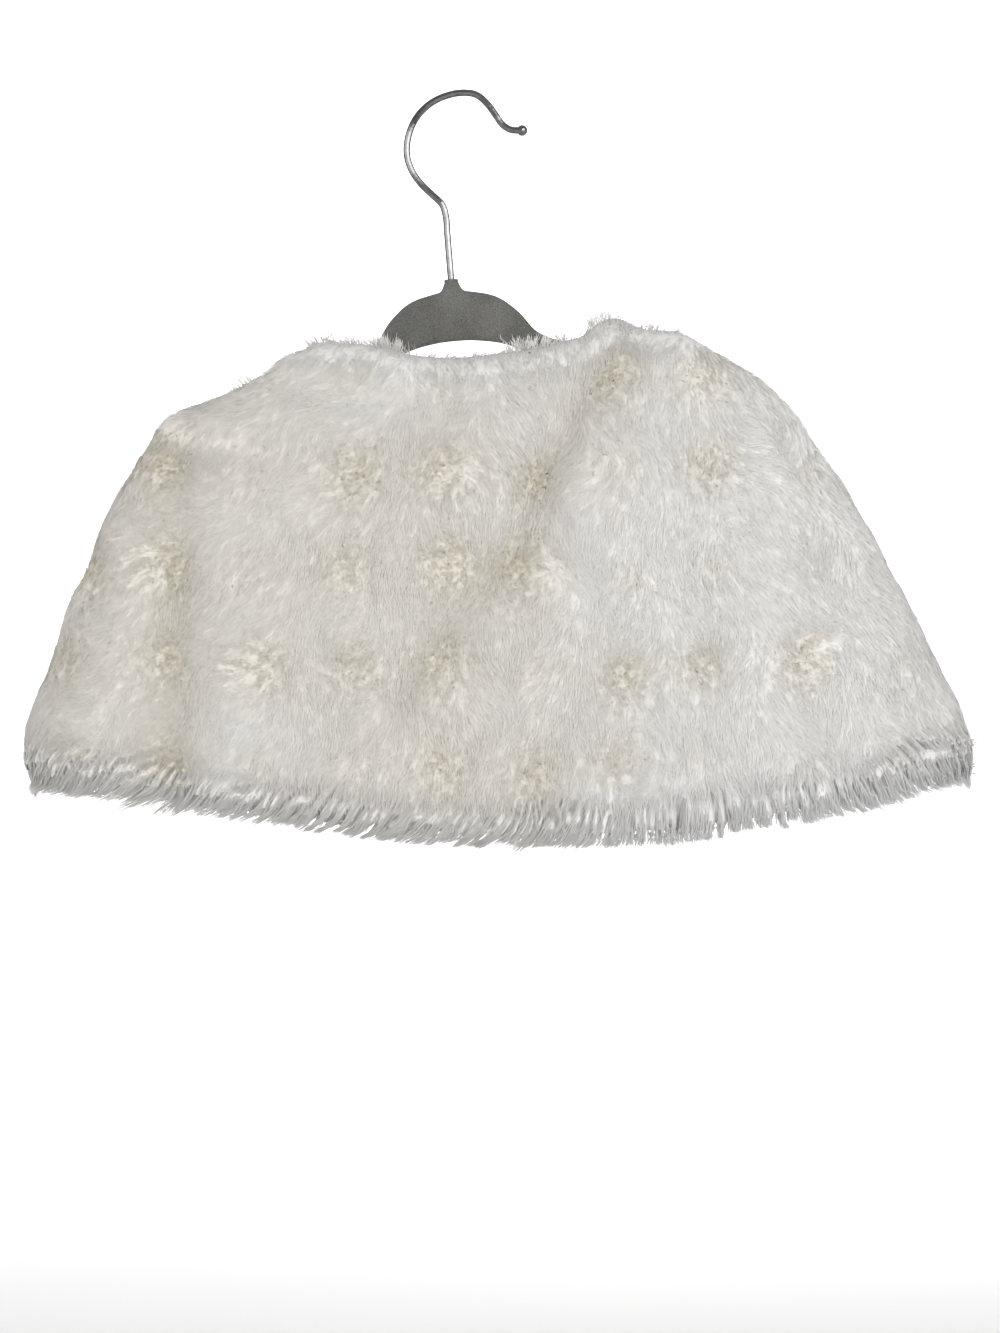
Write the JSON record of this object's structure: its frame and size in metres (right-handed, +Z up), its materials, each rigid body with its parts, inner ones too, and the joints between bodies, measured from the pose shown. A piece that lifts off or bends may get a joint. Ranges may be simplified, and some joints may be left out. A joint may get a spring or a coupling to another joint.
{
  "type": "fur cape on hanger",
  "caption": "Short white faux-fur cape, open down the middle of its front, hung on a small grey flocked hanger with a bright wire hook and seen from the back.",
  "frame": {"origin": "the inside top of the hanger's hook, where it rests on a rail or wall hook", "axes": "+Z up, against gravity; +X along the shoulders, towards the viewer's right in the picture; -Y towards the camera, which sees the cape's back, and +Y out of its two fronts"},
  "size_m": [0.437, 0.1253, 0.3465],
  "materials": {
    "white_fur": "dense off-white pile on a knitted backing",
    "grey_flock": "grey flocked plastic",
    "chrome": "bright plated wire"
  },
  "bodies": {
    "root": {"back": "white_fur", "front_left": "white_fur", "front_right": "white_fur", "hanger_plate": "grey_flock", "hanger_hook": "chrome"}
  },
  "joints": []
}
